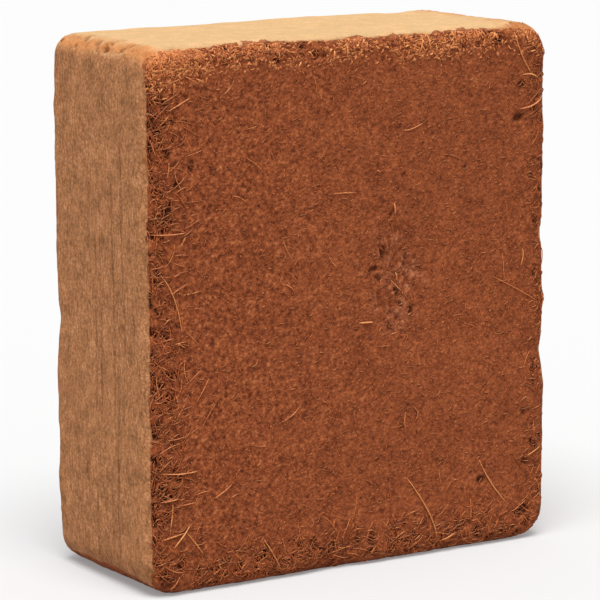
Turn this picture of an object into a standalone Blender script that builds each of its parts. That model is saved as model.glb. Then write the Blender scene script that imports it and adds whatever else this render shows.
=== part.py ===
"""A pressed coconut coir bale: husk pith and short fibre rammed into one solid block.

The block stands on one narrow end. X runs across the wide press faces, Y is the way the ram
pressed, and Z is up. The origin is the middle of the end that the block stands on.
"""

import bmesh
import bpy
from mathutils import Vector, noise

# Driving sizes, in metres
WIDTH = 0.263
DEPTH = 0.110
HEIGHT = 0.300

# The mould has round corners, the upper one at -X tighter than the rest, and the rims of the two
# press faces are a little softer than sharp
MOULD_CORNER = 0.018
TIGHT_MOULD_CORNER = 0.013
RIM_ROUNDING = 0.007
CORNER_STEPS = 5
RIM_STEPS = 2

# Spacing of the surface grid: close near the edges, where the block has crumbled, wider on the flats
EDGE_BAND = 0.022
EDGE_CELL = 0.0055
FLAT_CELL = 0.0098

# The sides at -X and +X swelled a little when the block left its mould: how far, at what height,
# and over what height above and below that
BELLY_DEPTH = 0.0013
BELLY_PLACE = 0.065
BELLY_REACH = 0.100

# Unevenness of the surface: slow swells of the whole block, and lumps along its edges
SWELL_SIZE = 0.085
SWELL_HEIGHT = 0.0011
LUMP_SIZE = 0.0105
LUMP_DEPTH = 0.0012
LUMP_REACH = 0.012
LUMP_OCTAVES = 3
# Edges lose pith more than they gain it, so the middle of the lumps lies this share below the block
LUMP_LOSS = 0.25

# The torn hollow on the front press face: its middle, half its width and height, and its depth
HOLLOW_X = 0.031
HOLLOW_Z = 0.170
HOLLOW_HALF_WIDTH = 0.019
HOLLOW_HALF_HEIGHT = 0.046
HOLLOW_DEPTH = 0.0030
HOLLOW_LUMP_SIZE = 0.0085
HOLLOW_LUMP_HEIGHT = 0.0016
HOLLOW_RAGGEDNESS = 0.25

# Chips broken out of the edges: where on the block (x, y and z as shares of the half width, half
# depth and full height), how far the chip reaches along the edge, and how deep it is
CHIPS = [
    ((-1.0, 1.0, 0.465), 0.016, 0.0030),
    ((-1.0, 1.0, 0.240), 0.008, 0.0028),
    ((-1.0, 1.0, 0.065), 0.009, 0.0030),
    ((1.0, -1.0, 0.605), 0.010, 0.0026),
    ((1.0, -1.0, 0.365), 0.015, 0.0034),
    ((1.0, -1.0, 0.215), 0.009, 0.0015),
    ((-0.10, -1.0, 0.0), 0.020, 0.0036),
    ((0.52, -1.0, 0.0), 0.014, 0.0020),
    ((-0.93, -1.0, 1.0), 0.012, 0.0020),
    ((0.70, 1.0, 1.0), 0.014, 0.0026),
    ((1.0, 1.0, 0.80), 0.013, 0.0028),
    ((1.0, 1.0, 0.33), 0.017, 0.0032),
    ((0.25, 1.0, 0.0), 0.018, 0.0030),
]

HUSK_BROWN = (0.242, 0.066, 0.024, 1.0)
FLATNESS = 1e-6
FACING_FRONT = -0.9
SHARP_ANGLE = 1.2


def smooth_fall(share):
    """1 at a share of 0, easing to 0 at a share of 1 and beyond."""
    left = max(0.0, 1.0 - share)
    return left * left * (3.0 - 2.0 * left)


def grid_lines(length, corner):
    """Places to cut along one side of the block, between the roundings at its two ends."""
    half = length / 2 - corner
    band = min(EDGE_BAND, half)
    edge_steps = max(1, round(band / EDGE_CELL))
    flat_steps = max(1, round(2 * (half - band) / FLAT_CELL))
    near_edge = [half - band * step / edge_steps for step in range(1, edge_steps + 1)]
    flats = [(half - band) * (2 * step / flat_steps - 1) for step in range(1, flat_steps)]
    return [-line for line in near_edge] + flats + near_edge[::-1]


def rounded_block():
    """A cube at the block's size, with the mould's corners and then both rims rounded."""
    bpy.ops.mesh.primitive_cube_add(size=1.0, location=(0.0, 0.0, HEIGHT / 2))
    block = bpy.context.object
    block.scale = (WIDTH, DEPTH, HEIGHT)
    bpy.ops.object.transform_apply(location=True, rotation=True, scale=True)
    shape = bmesh.new()
    shape.from_mesh(block.data)
    mould_edges = [edge for edge in shape.edges if runs_along_depth(edge)]
    tight_edges = [edge for edge in mould_edges if is_tight_corner(edge)]
    bmesh.ops.bevel(shape, geom=tight_edges, offset=TIGHT_MOULD_CORNER, segments=CORNER_STEPS,
                    profile=0.5, affect="EDGES")
    wide_edges = [edge for edge in shape.edges if runs_along_depth(edge) and is_sharp(edge)]
    bmesh.ops.bevel(shape, geom=wide_edges, offset=MOULD_CORNER, segments=CORNER_STEPS,
                    profile=0.5, affect="EDGES")
    rim_edges = [edge for edge in shape.edges if lies_on_press_face(edge)]
    bmesh.ops.bevel(shape, geom=rim_edges, offset=RIM_ROUNDING, segments=RIM_STEPS,
                    profile=0.5, affect="EDGES")
    return block, shape


def runs_along_depth(edge):
    along = edge.verts[1].co - edge.verts[0].co
    return abs(along.y) > DEPTH / 2


def is_tight_corner(edge):
    middle = (edge.verts[0].co + edge.verts[1].co) / 2
    return middle.x < 0 and middle.z > HEIGHT / 2


def is_sharp(edge):
    return edge.calc_face_angle() > SHARP_ANGLE


def lies_on_press_face(edge):
    middle = (edge.verts[0].co + edge.verts[1].co) / 2
    return abs(abs(middle.y) - DEPTH / 2) < FLATNESS


def cut_into_grid(shape):
    """Cuts the surface along evenly graded planes, so that it can take an uneven form."""
    cuts = [
        (Vector((1, 0, 0)), grid_lines(WIDTH, MOULD_CORNER), 0.0),
        (Vector((0, 1, 0)), grid_lines(DEPTH, RIM_ROUNDING), 0.0),
        (Vector((0, 0, 1)), grid_lines(HEIGHT, MOULD_CORNER), HEIGHT / 2),
    ]
    for axis, lines, middle in cuts:
        for line in lines:
            everything = shape.verts[:] + shape.edges[:] + shape.faces[:]
            bmesh.ops.bisect_plane(shape, geom=everything, dist=FLATNESS,
                                   plane_co=axis * (line + middle), plane_no=axis)


def refine_hollow(shape):
    """Halves the grid where the front face is torn."""
    torn = [face for face in shape.faces if hollow_share(face.calc_center_median()) > 0.0
            and face.normal.y < FACING_FRONT]
    edges = {edge for face in torn for edge in face.edges}
    bmesh.ops.subdivide_edges(shape, edges=list(edges), cuts=1, use_grid_fill=True)
    bmesh.ops.triangulate(shape, faces=[face for face in shape.faces if len(face.verts) > 4])


def hollow_share(point):
    """1 in the middle of the torn hollow on the front face, 0 outside it."""
    if point.y > -DEPTH / 2 + RIM_ROUNDING:
        return 0.0
    wander = HOLLOW_RAGGEDNESS * noise.noise(point / HOLLOW_HALF_WIDTH)
    across = (point.x - HOLLOW_X) / HOLLOW_HALF_WIDTH
    along = (point.z - HOLLOW_Z) / HOLLOW_HALF_HEIGHT
    return smooth_fall((across * across + along * along) ** 0.5 + wander)


def edge_nearness(point):
    """1 on an edge of the block, falling to 0 at LUMP_REACH from it on either face."""
    to_sides = sorted([
        WIDTH / 2 - abs(point.x),
        DEPTH / 2 - abs(point.y),
        HEIGHT / 2 - abs(point.z - HEIGHT / 2),
    ])
    return smooth_fall(to_sides[1] / LUMP_REACH)


def chip_depth(point):
    """How deep the deepest chip at this point is."""
    deepest = 0.0
    for (share_x, share_y, share_z), reach, depth in CHIPS:
        middle = Vector((share_x * WIDTH / 2, share_y * DEPTH / 2, share_z * HEIGHT))
        deepest = max(deepest, depth * smooth_fall((point - middle).length / reach))
    return deepest


def belly_height(point):
    """How far the lower parts of the sides at -X and +X have swelled out at this point."""
    on_side = smooth_fall((WIDTH / 2 - abs(point.x)) / MOULD_CORNER)
    return BELLY_DEPTH * on_side * smooth_fall(abs(point.z - BELLY_PLACE) / BELLY_REACH)


def surface_height(point):
    """How far the surface stands out of the true block at a point, in metres."""
    swell = SWELL_HEIGHT * noise.noise(point / SWELL_SIZE) + belly_height(point)
    lumps = noise.fractal(point / LUMP_SIZE, 0.7, 2.0, LUMP_OCTAVES)
    crumbled = LUMP_DEPTH * edge_nearness(point) * (lumps - LUMP_LOSS)
    torn = hollow_share(point)
    torn_lumps = HOLLOW_LUMP_HEIGHT * noise.noise(point / HOLLOW_LUMP_SIZE)
    return swell + crumbled - chip_depth(point) - torn * (HOLLOW_DEPTH - torn_lumps)


def make_uneven(shape):
    """Moves each point along its normal. The end that it stands on stays flat at Z 0."""
    shape.normal_update()
    moves = [(vert, vert.normal * surface_height(vert.co)) for vert in shape.verts]
    for vert, move in moves:
        on_base = vert.co.z < FLATNESS
        vert.co += move
        vert.co.z = 0.0 if on_base else max(vert.co.z, 0.0)


def centre_on_origin(shape):
    """Brings the middle of the finished block's box over the origin."""
    across = [vert.co.x for vert in shape.verts]
    deep = [vert.co.y for vert in shape.verts]
    middle = Vector(((min(across) + max(across)) / 2, (min(deep) + max(deep)) / 2, 0.0))
    bmesh.ops.translate(shape, verts=shape.verts[:], vec=-middle)


def pressed_coir_material():
    material = bpy.data.materials.new("pressed coir")
    material.use_nodes = True
    surface = material.node_tree.nodes["Principled BSDF"]
    surface.inputs["Base Color"].default_value = HUSK_BROWN
    surface.inputs["Roughness"].default_value = 0.95
    surface.inputs["Metallic"].default_value = 0.0
    return material


def make_bale():
    block, shape = rounded_block()
    cut_into_grid(shape)
    refine_hollow(shape)
    make_uneven(shape)
    centre_on_origin(shape)
    bmesh.ops.triangulate(shape, faces=shape.faces[:])
    shape.to_mesh(block.data)
    shape.free()
    block.name = "coir_bale"
    block.data.name = "coir_bale"
    block.data.shade_smooth()
    block.data.materials.append(pressed_coir_material())
    return block


def main():
    for leftover in list(bpy.data.objects):
        bpy.data.objects.remove(leftover)
    collection = bpy.data.collections.new("coconut coir bale")
    bpy.context.scene.collection.children.link(collection)
    bale = make_bale()
    for holder in list(bale.users_collection):
        holder.objects.unlink(bale)
    collection.objects.link(bale)
    print("coir_bale triangles:", len(bale.data.polygons))


main()
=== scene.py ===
# %% [markdown]
# # A pressed coconut coir bale
#
# When coconut husks are combed for their long fibre, a dust of pith and short fibre is left over.
# It is dried, poured into a steel mould and rammed until it holds together as a block. The block
# has two kinds of surface. The two wide press faces, which the ram squeezed, are dark red-brown
# and felted with fibre. The four sides slid along the mould wall, which left them paler, smoother
# and streaked in layers.
#
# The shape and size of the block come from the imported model. This script only gives it its looks,
# so it starts by loading that model as a fixed frame, and everything below is measured from it.

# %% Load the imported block
import math

import bmesh
import bpy
import numpy as np
from mathutils import Matrix, Vector, noise
from mathutils.bvhtree import BVHTree


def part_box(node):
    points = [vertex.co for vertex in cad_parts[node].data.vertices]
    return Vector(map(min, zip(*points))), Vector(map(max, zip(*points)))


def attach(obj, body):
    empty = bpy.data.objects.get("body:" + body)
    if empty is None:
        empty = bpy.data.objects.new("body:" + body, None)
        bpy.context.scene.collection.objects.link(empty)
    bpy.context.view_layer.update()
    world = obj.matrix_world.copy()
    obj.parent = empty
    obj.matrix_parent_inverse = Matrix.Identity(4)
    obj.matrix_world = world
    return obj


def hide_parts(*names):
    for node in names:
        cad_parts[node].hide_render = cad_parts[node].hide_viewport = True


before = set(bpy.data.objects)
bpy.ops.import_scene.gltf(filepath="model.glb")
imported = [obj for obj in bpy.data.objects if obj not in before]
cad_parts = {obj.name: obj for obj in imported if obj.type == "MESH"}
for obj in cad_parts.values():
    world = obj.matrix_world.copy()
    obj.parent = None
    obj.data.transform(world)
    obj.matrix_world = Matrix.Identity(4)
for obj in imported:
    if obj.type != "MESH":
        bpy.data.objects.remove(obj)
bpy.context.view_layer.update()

MM = 0.001
low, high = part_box("coir_bale")
print("block size in mm:", [round(side / MM, 1) for side in high - low])

# %% [markdown]
# ## The camera
#
# A product photograph of a small thing is taken from well back with a long lens, which keeps its
# upright edges upright. The camera could be placed by eye, but it is easier to say how it stands
# to the block: how far round, how high, how far away. It turns a little to the front's left, so
# that the narrow side shows too, and it aims slightly below the middle of the block.

# %% Camera
AZIMUTH = math.radians(-31.5)
ELEVATION = math.radians(10.0)
DISTANCE = 1.840
LENS = 194.3
MIDDLE_HEIGHT = 0.150
AIM_BELOW_MIDDLE = 5.7 * MM
AIM_LEFT_OF_MIDDLE = 1.7 * MM
ROLL = math.radians(-0.4)


def add_object(name, data):
    """A new object in the scene, which shows this mesh, light or camera."""
    thing = bpy.data.objects.new(name, data)
    bpy.context.scene.collection.objects.link(thing)
    return thing


def place_camera():
    outward = Vector((
        math.sin(AZIMUTH) * math.cos(ELEVATION),
        -math.cos(AZIMUTH) * math.cos(ELEVATION),
        math.sin(ELEVATION),
    ))
    rightward = Vector((math.cos(AZIMUTH), math.sin(AZIMUTH), 0.0))
    centre = Vector((0.0, 0.0, MIDDLE_HEIGHT))
    aim = centre - rightward * AIM_LEFT_OF_MIDDLE - Vector((0.0, 0.0, AIM_BELOW_MIDDLE))
    camera = add_object("photo camera", bpy.data.cameras.new("photo camera"))
    camera.data.lens = LENS
    camera.data.clip_end = 50.0
    camera.location = centre + outward * DISTANCE
    facing = (camera.location - aim).to_track_quat("Z", "Y").to_matrix()
    camera.rotation_euler = (facing @ Matrix.Rotation(ROLL, 3, "Z")).to_euler()
    bpy.context.scene.camera = camera
    return camera


camera = place_camera()
print("camera stands at", [round(value, 3) for value in camera.location])

# %% [markdown]
# ## Light and floor
#
# The block stands on a white studio sweep. Its top is by far the brightest side, and its shadow on
# the floor is narrow and soft, so most of the light comes from overhead and is wide. An area light
# would light the floor less and less with distance, and the sweep has to stay white to the horizon.
# A sun with a very wide disc lights near and far alike, and still throws soft shadows. A white world
# fills in the rest, and the sweep glows a little, like a light table, so that shadows on it are faint.

# %% Studio light
WORLD_STRENGTH = 0.60
OVERHEAD_STRENGTH = 3.6
OVERHEAD_DISC = math.radians(38)
OVERHEAD_FROM = Vector((-0.18, -0.32, 1.0))


def add_node(tree, kind, inputs=None, **settings):
    """Adds a node, sets its own settings, and sets or links its inputs. Returns the node."""
    node = tree.nodes.new(kind)
    for name, value in settings.items():
        setattr(node, name, value)
    for socket, value in (inputs or {}).items():
        if isinstance(value, bpy.types.NodeSocket):
            tree.links.new(value, node.inputs[socket])
        else:
            node.inputs[socket].default_value = value
    return node


def light_studio():
    world = bpy.data.worlds.new("white studio")
    world.use_nodes = True
    background = world.node_tree.nodes["Background"]
    background.inputs["Color"].default_value = (1.0, 1.0, 1.0, 1.0)
    background.inputs["Strength"].default_value = WORLD_STRENGTH
    bpy.context.scene.world = world
    lamp = add_object("overhead light", bpy.data.lights.new("overhead light", "SUN"))
    lamp.data.angle = OVERHEAD_DISC
    lamp.data.energy = OVERHEAD_STRENGTH
    lamp.rotation_euler = OVERHEAD_FROM.to_track_quat("Z", "Y").to_euler()
    bpy.context.scene.view_settings.view_transform = "Standard"
    print("overhead light of", OVERHEAD_STRENGTH, "over a world of", WORLD_STRENGTH)


light_studio()

# %% Floor
FLOOR_SIZE = 24.0
FLOOR_WHITE = (0.455, 0.455, 0.455, 1.0)
FLOOR_GLOW = 0.22


def new_material(name, roughness, gloss):
    """A new material, its node tree, and its surface shader with these plain values."""
    material = bpy.data.materials.new(name)
    material.use_nodes = True
    surface = material.node_tree.nodes["Principled BSDF"]
    surface.inputs["Roughness"].default_value = roughness
    surface.inputs["Specular IOR Level"].default_value = gloss
    return material, material.node_tree, surface


def lay_floor():
    bpy.ops.mesh.primitive_plane_add(size=FLOOR_SIZE, location=(0.0, 0.0, 0.0))
    floor = bpy.context.object
    floor.name = "studio_floor"
    material, _, surface = new_material("studio floor", roughness=0.9, gloss=0.1)
    surface.inputs["Base Color"].default_value = FLOOR_WHITE
    surface.inputs["Emission Color"].default_value = (1.0, 1.0, 1.0, 1.0)
    surface.inputs["Emission Strength"].default_value = FLOOR_GLOW
    floor.data.materials.append(material)
    print("floor is", FLOOR_SIZE, "m across")


lay_floor()

# %% [markdown]
# ## A fine skin over the block
#
# Close up, pressed pith isn't smooth: it is grains, pits and the tips of fibre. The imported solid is
# too coarse for that, so a finer skin takes its place. Blender could subdivide the solid, but its
# triangles are uneven and so would the new ones be. A voxel remesh gives an even net of quads all
# over, however the solid was cut, and a little smoothing takes away the last of its facets.
#
# The skin is then pushed in and out along its normals by several kinds of noise. To say where each
# kind belongs, every point first gets a few plain measures: how far it is from the press faces, and
# how far it is from each edge.

# %% An even net over the block
SKIN_CELL = 1.3 * MM


def fine_copy(block):
    """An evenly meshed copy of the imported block, as a new mesh."""
    copy = add_object("block copy", block.data.copy())
    weld = copy.modifiers.new("weld", "WELD")
    weld.merge_threshold = 0.01 * MM
    remesh = copy.modifiers.new("remesh", "REMESH")
    remesh.mode = "VOXEL"
    remesh.voxel_size = SKIN_CELL
    smooth = copy.modifiers.new("smooth", "SMOOTH")
    smooth.factor = 0.5
    smooth.iterations = 5
    evaluated = copy.evaluated_get(bpy.context.evaluated_depsgraph_get())
    mesh = bpy.data.meshes.new_from_object(evaluated)
    bpy.data.objects.remove(copy)
    return mesh


def numbers(items, name, width):
    """Reads one property of every item of a mesh into an array of rows."""
    values = np.empty(len(items) * width, np.float32)
    items.foreach_get(name, values)
    return values.reshape(-1, width) if width > 1 else values


skin_mesh = fine_copy(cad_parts["coir_bale"])
smooth_places = numbers(skin_mesh.vertices, "co", 3).astype(float)
smooth_normals = numbers(skin_mesh.vertex_normals, "vector", 3).astype(float)
print("skin has", len(skin_mesh.vertices), "points and", len(skin_mesh.polygons), "quads")

# %% Measures of each point: distances, fades and noise


def fade(values, start, end):
    """0 up to start, 1 from end on, and an even S-curve between them."""
    share = np.clip((values - start) / (end - start), 0.0, 1.0)
    return share * share * (3.0 - 2.0 * share)


def cloudy(places, size, octaves=1, drift=0.0):
    """Smooth noise from about -1 to 1, in lumps about `size` across, one size or one per axis."""
    scaled = places / np.array(size) + drift
    return np.array([noise.fractal(Vector(place), 1.0, 2.0, octaves) for place in scaled])


def span(values):
    """The lowest and the highest value, as words to print."""
    return f"{float(values.min()):.2f} to {float(values.max()):.2f}"


x, y, z = smooth_places.T
from_press = np.minimum(y - low.y, high.y - y)
from_left = x - low.x
from_right = high.x - x
from_top = high.z - z
from_base = z - low.z
on_front = y < 0.0
print("distance from the press faces in mm:", span(from_press / MM))

# %% [markdown]
# ### Where the pith is torn and bare
#
# `bare` is 1 where the brown fibrous pith shows and 0 where the pale mould skin still covers it. The
# press faces are bare all over. At the edges the skin has crumbled away too: hardly at all along the
# upright edges, but in a ragged band along the top and the base, and widest over the upper right
# corner at the front. A painted shade near the floor is 1 up to the top of that band at the base, and
# fades above it. It darkens the sides there.
#
# `fray` is 1 where the press face is loosest, which is a band just inside its edges. That band is
# where the deep pits and the loose fibres are. `worn` is 1 at the two upper mould corners, which are
# rubbed down to an orange crumb.
#
# Each of these could be painted by hand. Sums of distances and clouds of noise give the same ragged
# borders, and a border can then be moved by changing one number.

# %% Bare and frayed places
big_clouds = cloudy(smooth_places, 22 * MM, 2, 3.1)
small_clouds = cloudy(smooth_places, 5 * MM, 2, 7.7)


def near_edge(distance, reach):
    """1 on an edge, falling to 0 at this reach from it."""
    return 1.0 - fade(distance, 0.0, reach)


def near_corner(distance_a, distance_b):
    """1 in the round of the mould corner between two sides, 0 on the flats."""
    return 1.0 - fade(np.hypot(distance_a, distance_b), 9 * MM, 17 * MM)


edge_share = np.maximum.reduce([
    near_edge(from_left, 33 * MM),
    0.90 * near_edge(from_top, 16 * MM),
    1.15 * near_edge(from_base, 30 * MM),
    0.85 * near_edge(from_right, 19 * MM),
])
facing_press = fade(np.abs(smooth_normals[:, 1]), 0.75, 0.85)
on_press = np.maximum(facing_press, 1.0 - fade(from_press, 2.0 * MM, 5.0 * MM))
fray = np.clip(edge_share * (1.05 + 1.2 * big_clouds), 0.0, 1.0) * on_press

mould_corners = np.maximum.reduce([
    near_corner(from_left, from_top),
    near_corner(from_right, from_top),
    near_corner(from_left, from_base),
    near_corner(from_right, from_base),
])
# How far behind the press faces the pith is bare
top_wrap = np.where(on_front, 3.0, -0.9)
wrap = (1.6 + top_wrap * near_edge(from_top, 9 * MM) + 5.0 * near_edge(from_base, 9 * MM)) * MM
wrap = wrap + np.where(on_front, 5.0 * MM, 2.0 * MM) * mould_corners
on_top_front = near_edge(from_top, 9 * MM) * on_front
wrap = wrap + 24.0 * MM * near_corner(from_right, from_top) * on_front
wrap = wrap + (11.0 * MM * near_edge(from_right, 36 * MM) + 2.5 * MM * big_clouds) * on_top_front
wrap = wrap + (0.3 * MM + 0.4 * wrap) * small_clouds
blur = (0.7 + 0.9 * on_top_front) * MM
bare = np.maximum(facing_press, 1.0 - fade(from_press, wrap - blur, wrap + blur))

base_line = 6.6 * MM + 1.6 * MM * fade(from_press, 0.0, 40 * MM)
base_line = base_line + 1.4 * MM * small_clouds + 1.5 * MM * big_clouds
bare = np.maximum(bare, 1.0 - fade(from_base, base_line - 2.2 * MM, base_line + 2.2 * MM))
# Painted shade near the floor: 1 up to the top of the band at the base, fading above it.
base_shade = 1.0 - fade(from_base, base_line, base_line + 12 * MM)
worn_depth = from_top + 2.0 * MM * small_clouds + 2.0 * MM * big_clouds
worn = 1.0 - fade(worn_depth, 4.5 * MM, 10.5 * MM)
from_corner = np.minimum(from_left, 0.55 * from_right) + 4.0 * MM * small_clouds + 5.0 * MM * big_clouds
worn = worn * (1.0 - fade(from_corner, 7 * MM, 17 * MM))
print("bare share of the points:", round(float(bare.mean()), 3))

# %% [markdown]
# ### The relief
#
# Each surface gets its own relief, in millimetres. Bare pith has grains 2 to 3 mm across on lumps
# three times that size, and pits where a bit fell out. Pits are noise that is cut off at a threshold,
# and the threshold is lower where the face is frayed, so the pits crowd together there. `clumpy`
# says where grains stick together in clods: towards the left of the front, and wherever it is frayed
# or torn. The mould sides have fine streaks, made by noise that is stretched along the layers.
#
# Chance could place everything, but the eye knows a few marks one by one: the crevices in the torn
# hollow, the holes near the edges, the long grooves and the pits in the rubbed corner. Those are
# listed by place and size, and noise only wavers their outlines.

# %% Relief of the bare pith
HOLLOW_MIDDLE = (28 * MM, 166 * MM)
HOLLOW_HALF = (21 * MM, 52 * MM)
# Crevices in the hollow: x and z of the middle, half the length, tilt from upright in degrees, and
# depth, with lengths in mm
CREVICES = [
    (19.0, 177.0, 6.5, -12, 1.9),
    (12.5, 168.5, 4.5, 80, 1.5),
    (15.0, 163.5, 4.5, -50, 1.4),
    (28.0, 154.5, 5.0, -25, 1.9),
    (31.0, 147.5, 3.0, -40, 1.6),
    (37.5, 142.5, 4.0, 15, 1.6),
    (23.0, 135.0, 4.0, 60, 1.0),
    (24.5, 199.0, 5.0, 35, 0.8),
    (35.0, 172.0, 4.5, 15, 0.9),
    (32.5, 220.0, 4.0, 20, 0.8),
]
CREVICE_HALF_WIDTH = 1.7 * MM

grains = cloudy(smooth_places, 2.4 * MM, 2, 1.3)
lumps = cloudy(smooth_places, 7 * MM, 1, 5.9)
clods = cloudy(smooth_places, 3.2 * MM, 2, 41.7)
pit_noise = cloudy(smooth_places, 4.8 * MM, 2, 11.2)
pit_level = 0.52 - 0.56 * fray
pits = fade(pit_noise, pit_level, pit_level + 0.26)

hollow_reach = np.hypot(
    (x - HOLLOW_MIDDLE[0]) / HOLLOW_HALF[0],
    (z - HOLLOW_MIDDLE[1]) / HOLLOW_HALF[1],
)
torn = (1.0 - fade(hollow_reach + 0.5 * big_clouds, 0.2, 1.0)) * on_front * on_press
torn_lumps = cloudy(smooth_places, 4.5 * MM, 2, 27.5) * torn
clumpy = np.maximum.reduce([0.9 * near_edge(from_left, 190 * MM) * on_press, 0.8 * fray, torn])


def ragged(reach, waver, start, end):
    """1 in the middle of a mark and 0 outside it. Its outline wavers with the small clouds."""
    return 1.0 - fade(reach + waver * small_clouds, start, end)


def cut_crevices():
    """How deep the crevices are at each point, in mm."""
    deepest = np.zeros(len(x))
    for across_place, height, half_length, tilt, depth in CREVICES:
        right, up = x - across_place * MM, z - height * MM
        turn = math.radians(tilt)
        along = np.abs(up * math.cos(turn) + right * math.sin(turn)) / (half_length * MM)
        across = np.abs(right * math.cos(turn) - up * math.sin(turn)) / CREVICE_HALF_WIDTH
        inside = ragged(np.hypot(along, across), 0.45, 0.25, 1.0)
        deepest = np.maximum(deepest, depth * inside * on_front)
    return deepest


# Holes near the edges of the front face: x and z of the middle, and half the width, in mm
HOLES = [
    (-123, 290, 3.2), (-120, 270, 3.6), (-126, 265, 3.0), (-125, 256, 3.2), (-118, 242, 3.0),
    (-128, 240, 3.0), (-112, 226, 2.6), (-103, 235, 2.2), (-53, 297, 2.6), (-49, 288, 2.6),
    (-33, 296, 3.0), (-24, 290, 2.6), (-128, 147, 3.0), (-121, 148, 3.0), (-127, 121, 3.0),
    (-116, 122, 2.6), (-123, 111, 2.8), (-127, 92, 2.8), (-121, 92, 2.4), (-125, 61, 3.4),
    (-129, 52, 3.0), (-122, 12, 4.0), (-112, 18, 2.8), (117, 46, 2.6), (115, 18, 3.4),
    (47, 19, 2.4), (94, 5, 2.4), (85, 40, 2.6), (115, 76, 2.4), (60, 8, 3.8),
    (110, 247, 3.2), (112, 265, 2.4), (62, 295, 2.4), (73, 290, 2.6), (88, 294, 3.0),
    (97, 292, 2.6),
]


def cut_holes():
    """1 in the middle of each hole near the edges, 0 outside them."""
    deepest = np.zeros(len(x))
    for across_place, height, half_width in HOLES:
        reach = np.hypot(x - across_place * MM, z - height * MM) / (half_width * MM)
        deepest = np.maximum(deepest, ragged(reach, 0.6, 0.35, 1.1) * on_front * on_press)
    return deepest


crevices = cut_crevices()
holes = cut_holes()

pith_relief = 0.20 * grains + 0.20 * lumps + 0.7 * fray * lumps + 1.0 * torn_lumps
pith_relief = pith_relief + (0.08 + 0.22 * clumpy) * clods
pith_relief = pith_relief - (0.4 + 1.9 * fray) * pits - crevices - 2.0 * holes
print("relief of the pith in mm:", span(pith_relief))

# %% Relief of the mould sides
# Grooves in the left side: depth place, bottom, top, and how deep, with lengths in mm
GROOVES = [
    (2.8, 102, 150, 0.32),
    (-3.0, 109, 195, 0.28),
    (-17.9, 100, 215, 0.32),
    (-23.0, 20, 120, 0.36),
    (-28.7, 95, 230, 0.28),
    (-38.0, 150, 250, 0.18),
    (1.2, 5, 42, 0.32),
    (-15.8, 27, 50, 0.24),
    (13.4, 56, 78, 0.24),
]
GROOVE_WIDTH = 1.3 * MM
# Pits in the rubbed upper left corner: depth place, height below the top and half the length, in mm,
# and a share of the full depth
WORN_PITS = [
    (-7, 5.5, 3.4, 1.0),
    (7, 3.0, 4.5, 0.7),
    (26, 1.5, 4.5, 0.6),
    (17, 4.5, 2.2, 0.5),
    (-29, 2.5, 3.0, 0.5),
]
WORN_PIT_HALF_HEIGHT = 2.0 * MM

streaks = cloudy(smooth_places, (7 * MM, 1.7 * MM, 7 * MM), 2, 2.2)
layer_noise = cloudy(smooth_places, (120 * MM, 9 * MM, 120 * MM), 1, 8.4)
layer_gaps = (1.0 - fade(np.abs(layer_noise), 0.0, 0.06)) * fade(big_clouds, -0.1, 0.3)
specks = fade(cloudy(smooth_places, (3.0 * MM, 1.4 * MM, 3.0 * MM), 1, 14.6), 0.55, 0.85)


def left_side_grooves():
    """The longer grooves on the left side: each is at one depth, from one height to another."""
    total = np.zeros(len(x))
    wander = 1.5 * MM * cloudy(smooth_places, 45 * MM, 2, 4.5)
    broken = 0.5 + 0.5 * fade(cloudy(smooth_places, 13 * MM, 1, 51.9), -0.4, 0.3)
    for depth_place, bottom, top, deep in GROOVES:
        across = np.abs(y - depth_place * MM + wander)
        along = fade(z, (bottom - 8) * MM, bottom * MM) * (1.0 - fade(z, top * MM, (top + 25) * MM))
        total += deep * (1.0 - fade(across, 0.0, GROOVE_WIDTH)) * along
    return total * broken * (from_left < 8 * MM)


grooves = left_side_grooves()


def cut_worn_pits():
    """How deep the pits in the rubbed left corner are: 1 in the middle of the deepest."""
    deepest = fade(cloudy(smooth_places, (4.0 * MM, 6.0 * MM, 3.0 * MM), 3, 33.1), 0.3, 0.6) * worn
    for depth_place, below_top, half_length, share in WORN_PITS:
        along = np.abs(y - depth_place * MM) / (half_length * MM)
        across = np.abs(from_top - below_top * MM) / WORN_PIT_HALF_HEIGHT
        inside = ragged(np.hypot(along, across), 0.5, 0.2, 1.0)
        deepest = np.maximum(deepest, share * inside * (from_left < 12 * MM))
    return deepest


worn_pits = cut_worn_pits()
calm = 1.0 - 0.7 * near_edge(from_top, 4 * MM)
side_relief = calm * (0.10 * streaks - 0.18 * layer_gaps - 0.2 * specks) - grooves
side_relief = side_relief + worn * (0.50 * lumps + 0.50 * grains) - 1.6 * worn_pits
print("relief of the sides in mm:", span(side_relief))

# %% Push the skin in and out
relief = bare * pith_relief + (1.0 - bare) * side_relief
skin_places = smooth_places + smooth_normals * (relief * MM)[:, None]
skin_places[:, 2] = np.maximum(skin_places[:, 2], low.z)
skin_mesh.vertices.foreach_set("co", skin_places.ravel().astype(np.float32))
skin_mesh.update()
print("relief of the whole skin in mm:", span(relief))

# %% Keep what the materials will want to know


def keep_field(mesh, name, values):
    """Stores one number per point, which a material reads with an Attribute node."""
    field = mesh.attributes.new(name, "FLOAT", "POINT")
    field.data.foreach_set("value", values.astype(np.float32))


# Painted shade: the pits, crevices and holes of the pith are darkened, where its recesses fall into
# shade.
pith_pit_shade = pits * (0.30 + 0.95 * fray) + 0.45 * crevices + 0.8 * holes
# Painted shade: the press faces are also darkened towards the base, where the floor shades them.
pith_pit_shade = pith_pit_shade + 0.35 * near_edge(from_base, 13 * MM)
# The specks are dark flecks and small dents. The layer gaps, rubbed pits and grooves are recesses
# darkened with painted shade.
side_pit_shade = calm * (0.35 * specks + 0.25 * layer_gaps) + 0.7 * worn_pits + 1.7 * grooves
# Painted shade: the sides are darkened near the base too, where they meet the floor.
side_pit_shade = side_pit_shade + base_shade * (0.20 + 0.25 * lumps)
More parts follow.
